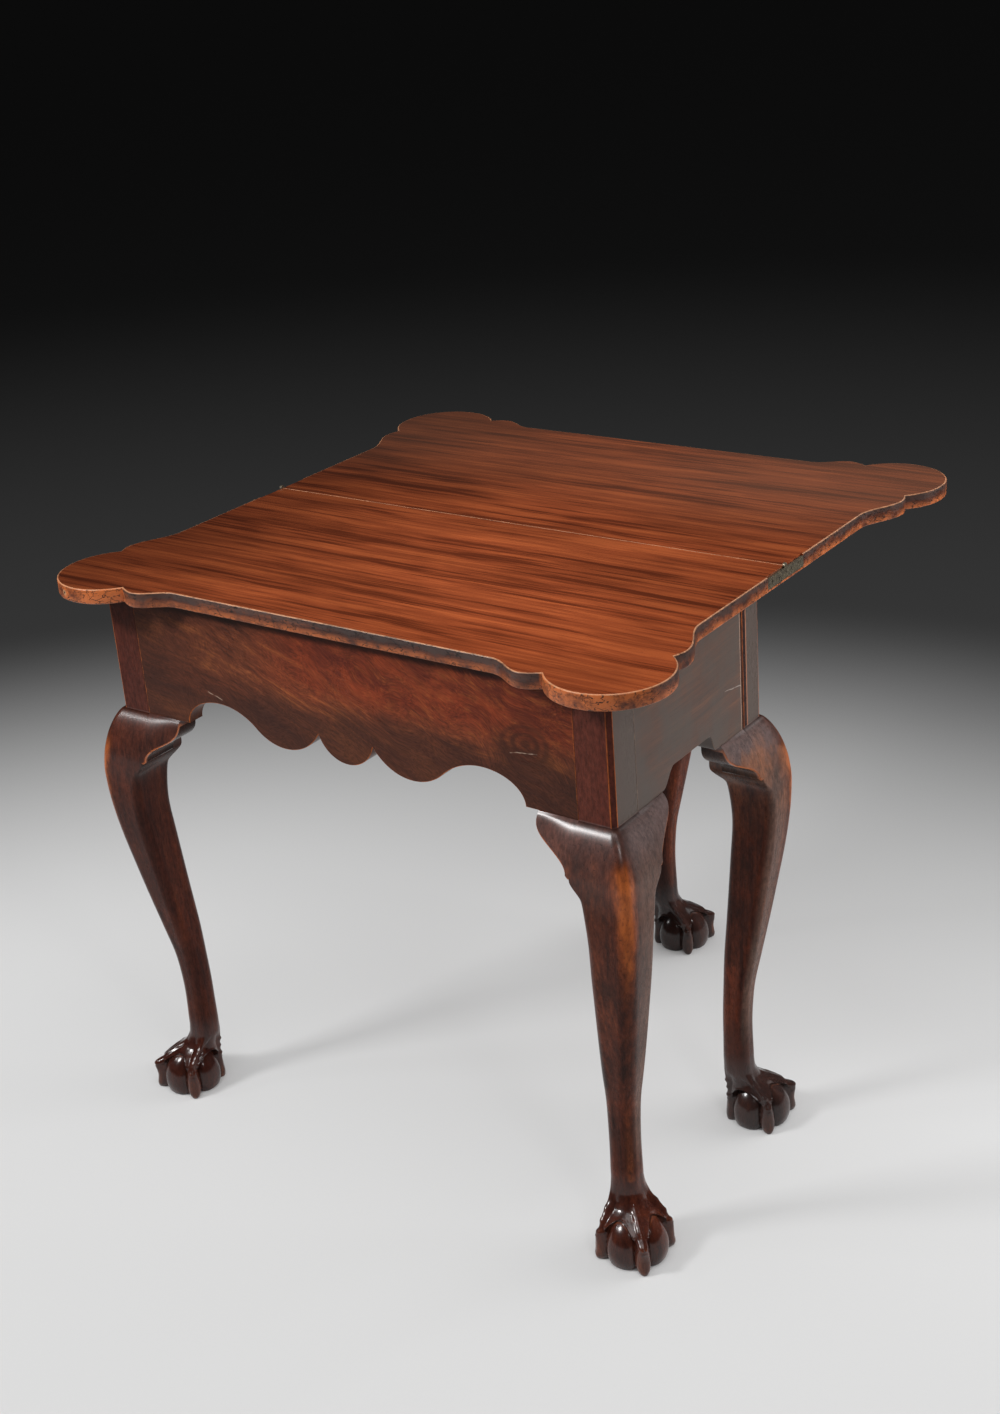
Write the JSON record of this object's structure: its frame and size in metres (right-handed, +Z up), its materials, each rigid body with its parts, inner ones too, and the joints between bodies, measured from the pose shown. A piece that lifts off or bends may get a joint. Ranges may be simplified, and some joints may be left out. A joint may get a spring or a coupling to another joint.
{
  "type": "foldover tea table",
  "caption": "Foldover tea table with a shaped hinged top, a scalloped apron and cabriole legs on claw-and-ball feet; a rear leg swings out on a gate rail to carry the open leaf.",
  "frame": {"origin": "on the floor under the middle of the joint between the two halves of the open top", "axes": "+X to the right along the front, +Y from the front to the back, +Z up"},
  "size_m": [0.8218, 0.7896, 0.7185],
  "materials": {
    "polished_top": "red-brown mahogany with straight grain, polished to a high gloss",
    "frame_wood": "dark mahogany, polished and worn at the edges",
    "leg_wood": "dark carved mahogany, glossy and worn at the ridges",
    "secondary_wood": "plain dry wood, unpolished",
    "hinge_metal": "dark tarnished brass",
    "iron": "dark dull iron"
  },
  "bodies": {
    "frame": {"fixed_top": "polished_top", "left_hinge_fixed_plate": "hinge_metal", "left_hinge_pin": "hinge_metal", "left_hinge_fixed_screw_1": "hinge_metal", "left_hinge_fixed_screw_2": "hinge_metal", "right_hinge_fixed_plate": "hinge_metal", "right_hinge_pin": "hinge_metal", "right_hinge_fixed_screw_1": "hinge_metal", "right_hinge_fixed_screw_2": "hinge_metal", "front_apron": "frame_wood", "left_side_rail": "frame_wood", "right_side_rail": "frame_wood", "inner_back_rail": "secondary_wood", "fixed_back_rail": "frame_wood", "gate_pin": "iron", "back_rail_screw_1": "iron", "back_rail_screw_2": "iron", "back_rail_screw_3": "iron", "left_front_glue_block": "secondary_wood", "left_back_glue_block": "secondary_wood", "left_side_glue_block": "secondary_wood", "right_front_glue_block": "secondary_wood", "right_back_glue_block": "secondary_wood", "right_side_glue_block": "secondary_wood", "front_left_leg": "leg_wood", "front_right_leg": "leg_wood", "rear_right_leg": "leg_wood", "front_left_front_knee_bracket": "leg_wood", "front_left_side_knee_bracket": "leg_wood", "front_right_front_knee_bracket": "leg_wood", "front_right_side_knee_bracket": "leg_wood", "rear_right_knee_bracket": "leg_wood"},
    "leaf": {"folding_leaf": "polished_top", "left_hinge_leaf_plate": "hinge_metal", "left_hinge_leaf_screw_1": "hinge_metal", "left_hinge_leaf_screw_2": "hinge_metal", "right_hinge_leaf_plate": "hinge_metal", "right_hinge_leaf_screw_1": "hinge_metal", "right_hinge_leaf_screw_2": "hinge_metal"},
    "gate": {"gate_rail": "frame_wood", "swing_leg": "leg_wood", "swing_knee_bracket": "leg_wood"}
  },
  "joints": [
    {"name": "leaf_hinge", "type": "hinge", "parent": "frame", "child": "leaf", "pos_m": [0, 0, 0.71525], "axis": [1, 0, 0], "range_deg": [0, 180]},
    {"name": "gate_hinge", "type": "hinge", "parent": "frame", "child": "gate", "pos_m": [0.002, -0.0615, 0.63], "axis": [0, 0, 1], "range_deg": [0, 94]}
  ]
}
